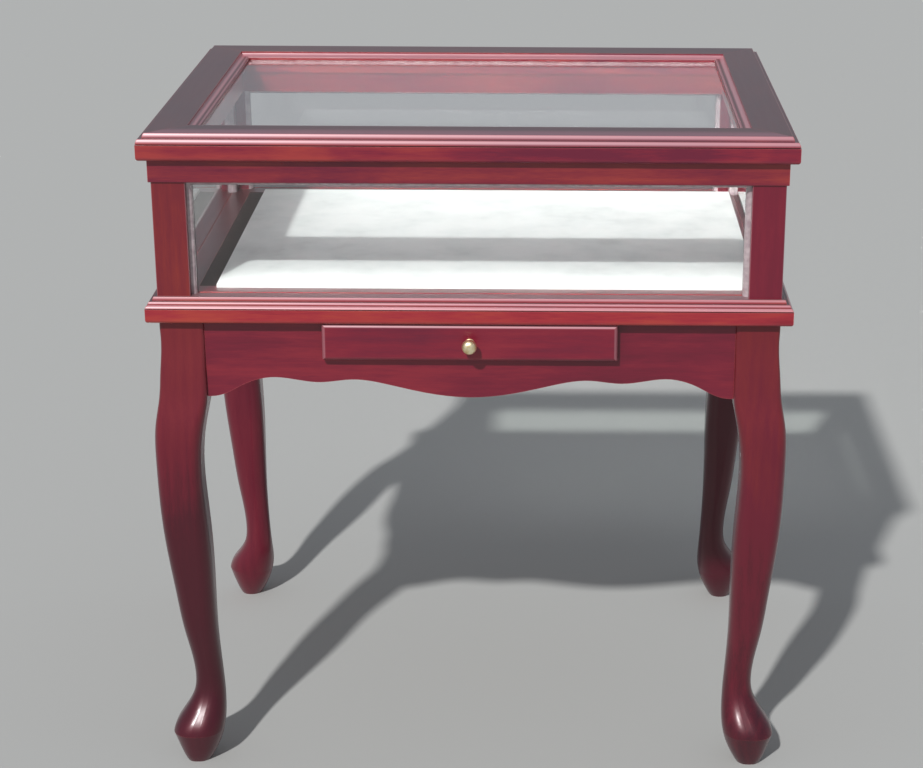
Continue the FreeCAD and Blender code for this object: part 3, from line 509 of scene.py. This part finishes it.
# %% [markdown]
# ## Bare wood
#
# What stays hidden isn't stained: the drawer's box, its runners and kickers, the corner blocks and
# the dowels are sawn poplar with a thin sealer. It is pale, with a faint green-brown figure and
# almost no shine.

# %% Sealed poplar
POPLAR_RING_MM = 11.0
POPLAR_HEART_MM = (210, 0, -330)


def sealed_poplar():
    """The bare wood of the drawer box, its runners, the corner blocks and the dowels."""
    material, tree, place = new_finish("sealed_poplar")
    board = along_grain(tree, place, "y", GRAIN_STRETCH, POPLAR_HEART_MM)
    rings = add_node(tree, "TexWave", {"Vector": board, "Scale": WAVE_TURN * per_metre(POPLAR_RING_MM),
                                       "Distortion": 9.0, "Detail": 3.0},
                     wave_type="RINGS", rings_direction="Y").outputs["Fac"]
    fibres = add_node(tree, "TexNoise", {"Vector": board, "Scale": per_metre(FIBRE_MM),
                                         "Detail": 4.0}).outputs[0]
    figure = blend(tree, ((rings, 0.16), (fibres, 0.7), (1.0, 0.1)))
    tone = add_node(tree, "ValToRGB", {"Fac": figure},
                    stops=((0.25, "#8E7148"), (0.55, "#B89A6A"), (0.85, "#CFB586"))).outputs["Color"]
    saw = add_node(tree, "Bump", {"Height": fibres, "Strength": 0.4,
                                  "Distance": 2 * DENT_DEPTH}).outputs[0]
    wood = add_node(tree, "BsdfPrincipled", {"Base Color": tone, "Roughness": 0.62,
                                             "Specular IOR Level": 0.35, "Normal": saw})
    add_node(tree, "OutputMaterial", {"Surface": wood.outputs[0]})
    return material


finishes["plain_wood"] = sealed_poplar()
print("made", finishes["plain_wood"].name)

# %% [markdown]
# ## The floor of the case
#
# The panel under the board is thin plywood, stained nearly black and lacquered dull. Only a strip of
# it shows beside the board.

# %% Dark panel
PANEL_FIBRE_MM = 1.4       # coarser than the veneer's own, so that it shows


def dark_panel():
    """Plywood stained nearly black."""
    material, tree, place = new_finish("stained_plywood")
    sheet = along_grain(tree, place, "x", GRAIN_STRETCH)
    fibres = add_node(tree, "TexNoise", {"Vector": sheet, "Scale": per_metre(PANEL_FIBRE_MM),
                                         "Detail": 4.0}).outputs[0]
    tone = add_node(tree, "ValToRGB", {"Fac": fibres},
                    stops=((0.3, "#241A18"), (0.7, "#3C2C28"))).outputs["Color"]
    wood = add_node(tree, "BsdfPrincipled", {"Base Color": tone, "Roughness": 0.6,
                                             "Specular IOR Level": 0.3})
    add_node(tree, "OutputMaterial", {"Surface": wood.outputs[0]})
    return material


finishes["dark_panel"] = dark_panel()
print("made", finishes["dark_panel"].name)

# %% [markdown]
# ## Glass
#
# The panes are float glass. A ray of light that only casts a shadow is let through, because a
# renderer without caustics would else leave the case black inside. Glass that light meets at a
# slant mirrors more of it away, about as the fifth power of the slant, so that share is lost there.

# %% Float glass
GLASS_IOR = 1.5
GLASS_LOSS = "#F6F8F7"     # what each face of a pane leaves of light that meets it squarely
SLANT_POWER = 5.0


def float_glass():
    """Clear glass that lets its share of the light through when it casts a shadow."""
    material, tree, place = new_finish("float_glass")
    pane = add_node(tree, "BsdfPrincipled", {"Base Color": colour("#FFFFFF"), "Roughness": 0.0,
                                             "IOR": GLASS_IOR, "Transmission Weight": 1.0})
    slant = add_node(tree, "LayerWeight", {"Blend": 0.5}).outputs["Facing"]
    mirrored = add_node(tree, "Math", {0: slant, 1: SLANT_POWER}, operation="POWER").outputs[0]
    through = add_node(tree, "BsdfTransparent", {"Color": colour(GLASS_LOSS)})
    lost = add_node(tree, "BsdfTransparent", {"Color": colour("#000000")})
    passing = add_node(tree, "MixShader", {0: mirrored, 1: through.outputs[0], 2: lost.outputs[0]})
    path = add_node(tree, "LightPath")
    mixed = add_node(tree, "MixShader", {0: path.outputs["Is Shadow Ray"], 1: pane.outputs[0],
                                         2: passing.outputs[0]})
    add_node(tree, "OutputMaterial", {"Surface": mixed.outputs[0]})
    return material


finishes["glass"] = float_glass()
print("made", finishes["glass"].name)

# %% [markdown]
# ## The white board
#
# The board is white-faced card, three millimetres thick. Handling has left it a little grey in soft
# patches, with a few small marks.

# %% White card
SMUDGE_MM = 38.0
SPECK_MM = 7.0
SPECKS_FROM = 0.68         # only the highest peaks of the speck pattern make a mark
SPECKS_FULL = 0.76
SPECK_DEPTH = 0.12


def white_card():
    """White-faced card with grey smudges and a few specks."""
    material, tree, place = new_finish("white_card")
    smudges = add_node(tree, "TexNoise", {"Vector": place, "Scale": per_metre(SMUDGE_MM),
                                          "Detail": 5.0, "Roughness": 0.6}).outputs[0]
    specks = add_node(tree, "TexNoise", {"Vector": place, "Scale": per_metre(SPECK_MM),
                                         "Detail": 3.0}).outputs[0]
    marks = add_node(tree, "MapRange", {"Value": specks, "From Min": SPECKS_FROM,
                                        "From Max": SPECKS_FULL, "To Max": SPECK_DEPTH}).outputs[0]
    grey = add_node(tree, "Math", {0: smudges, 1: marks}, operation="SUBTRACT").outputs[0]
    tone = add_node(tree, "ValToRGB", {"Fac": grey},
                    stops=((0.20, "#CDD1CF"), (0.42, "#DEE2E0"), (0.60, "#E6E9E7"))).outputs["Color"]
    card = add_node(tree, "BsdfPrincipled", {"Base Color": tone, "Roughness": 0.55,
                                             "Specular IOR Level": 0.4})
    add_node(tree, "OutputMaterial", {"Surface": card.outputs[0]})
    return material


finishes["white_board"] = white_card()
print("made", finishes["white_board"].name)

# %% [markdown]
# ## Metal
#
# The knob, the hinges and the hinges' screws are brass, polished once and since worn to a soft shine,
# with a little brown tarnish in patches. Where the brass is still bright it is also smoother.

# %% Brass
TARNISH_MM = 4.0


def polished_brass():
    """Brass with soft brown patches, duller where it is brown."""
    material, tree, place = new_finish("polished_brass")
    patches = add_node(tree, "TexNoise", {"Vector": place, "Scale": per_metre(TARNISH_MM),
                                          "Detail": 4.0}).outputs[0]
    tone = add_node(tree, "ValToRGB", {"Fac": patches},
                    stops=((0.35, "#E2C896"), (0.6, "#FFF2CC"))).outputs["Color"]
    dull = add_node(tree, "MapRange", {"Value": patches, "To Min": 0.50, "To Max": 0.34}).outputs[0]
    metal = add_node(tree, "BsdfPrincipled", {"Base Color": tone, "Metallic": 1.0,
                                              "Roughness": dull})
    add_node(tree, "OutputMaterial", {"Surface": metal.outputs[0]})
    return material


finishes["brass"] = polished_brass()
print("made", finishes["brass"].name)

# %% [markdown]
# The other screws are steel with a plating of zinc, which sets in small crystals. Some of them are
# glossier than others, and that gives the plating its cloudy grey.

# %% Zinc-plated steel
PLATING_MM = 1.2           # coarser than the real crystals, so that they show


def zinc_steel():
    """Grey plating whose crystals differ in gloss."""
    material, tree, place = new_finish("zinc_plated_steel")
    crystals = add_node(tree, "TexNoise", {"Vector": place,
                                           "Scale": per_metre(PLATING_MM)}).outputs[0]
    dull = add_node(tree, "MapRange", {"Value": crystals, "To Min": 0.25, "To Max": 0.5}).outputs[0]
    metal = add_node(tree, "BsdfPrincipled", {"Base Color": colour("#B9BCC0"), "Metallic": 1.0,
                                              "Roughness": dull})
    add_node(tree, "OutputMaterial", {"Surface": metal.outputs[0]})
    return material


finishes["steel"] = zinc_steel()
print("made", finishes["steel"].name)

# %% [markdown]
# ## Dressing the pieces
#
# The stained pieces take their finish from a cut of cherry, and a short table says which. Pieces
# that run the same way and were stained alike share a cut.

# %% Which cut each stained piece is from
PIECE_CUTS = {
    "lid_front_rail": "lid_front", "lid_rear_rail": "lid_along",
    "lid_left_stile": "lid_across", "lid_right_stile": "lid_across",
    "case_top_front_rail": "case_along", "case_top_rear_rail": "case_along",
    "case_top_left_rail": "case_across", "case_top_right_rail": "case_across",
    "base_front_rail": "base_along", "base_rear_rail": "base_along",
    "base_left_rail": "base_across", "base_right_rail": "base_across",
    "front_apron": "apron_along", "rear_apron": "apron_along",
    "left_apron": "apron_across", "right_apron": "apron_across",
    "drawer_front": "drawer_along", "front_left_post": "left_post",
    "front_right_post": "right_post", "rear_left_post": "right_post",
    "rear_right_post": "right_post", "front_left_leg": "left_leg",
    "front_right_leg": "right_leg", "rear_left_leg": "rear_leg", "rear_right_leg": "leg_in_painted_shade",
}
print(len(PIECE_CUTS), "pieces are stained cherry")

# %% [markdown]
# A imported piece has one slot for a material, and putting a finish in that slot dresses the piece. One
# that isn't in the table takes the finish of the slot that the record names for it.

# %% Give every piece its finish
slots = {row["node"]: row["material_slot"] for row in frame["record"]["subparts"]}
for name, node in nodes.items():
    stained = name in PIECE_CUTS
    node.material_slots[0].material = cherry[PIECE_CUTS[name]] if stained else finishes[slots[name]]
print(len(nodes), "pieces dressed")
